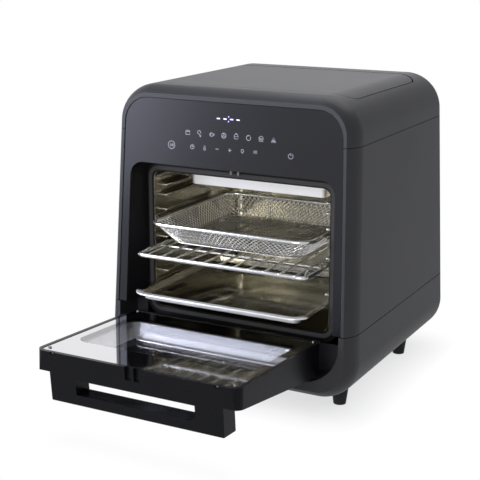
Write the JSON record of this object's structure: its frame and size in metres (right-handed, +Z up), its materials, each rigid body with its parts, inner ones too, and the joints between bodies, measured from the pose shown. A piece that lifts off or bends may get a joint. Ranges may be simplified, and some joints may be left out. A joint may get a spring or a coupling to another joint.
{
  "type": "steam air fryer oven",
  "caption": "Free-standing steam and air fryer oven with a drop-down front door, lift-up lid over a water tank, mesh basket, wire rack and baking tray.",
  "frame": {"origin": "on the standing plane, midway between the left and right feet, at the middle of the casing's depth", "axes": "+X to the oven's right as seen from the front, +Y to the back, +Z up"},
  "size_m": [0.329, 0.5217, 0.368],
  "materials": {
    "casing": "satin, fine-grained charcoal",
    "black_trim": "satin black",
    "dark_glass": "polished, black-printed",
    "door_glass": "polished, tinted",
    "stainless": "satin stainless sheet",
    "bright_wire": "polished wire",
    "polished_steel": "polished stainless sheet",
    "bright_surround": "silver paint",
    "rubber_grey": "matt",
    "insulation": "glass-fibre felt",
    "circuit": "green solder mask",
    "display": "polished",
    "tank_clear": "clear plastic",
    "white_plastic": "satin",
    "aluminium_cast": "as cast",
    "lamp_glass": "clear",
    "hose_silicone": "translucent silicone"
  },
  "bodies": {
    "housing": {"bottom_shell": "casing", "side_panel_left": "casing", "side_panel_right": "casing", "top_shell": "casing", "rear_panel": "casing", "control_glass": "dark_glass", "front_frame": "black_trim", "door_catch": "black_trim", "control_board": "circuit", "display_module": "display", "cavity_flange": "stainless", "cavity_floor": "stainless", "cavity_ceiling": "stainless", "cavity_rear_wall": "stainless", "cavity_left_wall": "stainless", "cavity_right_wall": "stainless", "shelf_ribs_left": "stainless", "shelf_ribs_right": "stainless", "door_seal": "rubber_grey", "insulation_wrap": "insulation", "heater_guard": "stainless", "heating_element": "stainless", "fan_housing": "stainless", "fan_motor": "aluminium_cast", "lamp_lens": "lamp_glass", "lamp_holder": "stainless", "lamp_bulb": "lamp_glass", "foot_front_left": "rubber_grey", "foot_front_right": "rubber_grey", "foot_rear_left": "rubber_grey", "foot_rear_right": "rubber_grey", "door_hinge_left": "stainless", "door_hinge_right": "stainless", "door_hinge_pins": "stainless", "tank_well": "black_trim", "lid_hinge_pins": "stainless", "water_tank": "tank_clear", "tank_cap": "white_plastic", "steam_generator": "aluminium_cast", "water_pump": "white_plastic", "supply_hose": "hose_silicone", "delivery_hose": "hose_silicone", "power_board": "circuit", "cord_gland": "black_trim", "rear_screws": "stainless"},
    "door": {"door_frame": "black_trim", "door_inner_glass": "door_glass", "window_surround": "bright_surround", "door_outer_glass": "door_glass", "door_handle": "black_trim", "door_hinge_arms": "stainless"},
    "lid": {"lid_panel": "casing"},
    "fan": {"fan_impeller": "aluminium_cast", "fan_shaft": "stainless"},
    "basket": {"basket_rim": "bright_wire", "basket_mesh": "bright_wire"},
    "rack": {"wire_rack": "bright_wire"},
    "tray": {"baking_tray": "polished_steel"}
  },
  "joints": [
    {"name": "door_hinge", "type": "hinge", "parent": "housing", "child": "door", "pos_m": [0, -0.1525, 0.065], "axis": [-1, 0, 0], "range_deg": [0, 86.6]},
    {"name": "lid_hinge", "type": "hinge", "parent": "housing", "child": "lid", "pos_m": [0, 0.092, 0.3606], "axis": [-1, 0, 0], "range_deg": [0, 80]},
    {"name": "fan_spin", "type": "hinge", "parent": "housing", "child": "fan", "pos_m": [0, -0.01, 0.28], "axis": [0, 0, 1], "continuous": true},
    {"name": "basket_slide", "type": "slide", "parent": "housing", "child": "basket", "axis": [0, 1, 0], "range_m": [0, 0.042]},
    {"name": "rack_slide", "type": "slide", "parent": "housing", "child": "rack", "axis": [0, 1, 0], "range_m": [0, 0.057]},
    {"name": "tray_slide", "type": "slide", "parent": "housing", "child": "tray", "axis": [0, 1, 0], "range_m": [0, 0.067]}
  ],
  "couplings": [
    {"joint": "basket_slide", "follows": "door_hinge", "m_per_rad": 0.027787},
    {"joint": "rack_slide", "follows": "door_hinge", "m_per_rad": 0.037712},
    {"joint": "tray_slide", "follows": "door_hinge", "m_per_rad": 0.044328}
  ]
}
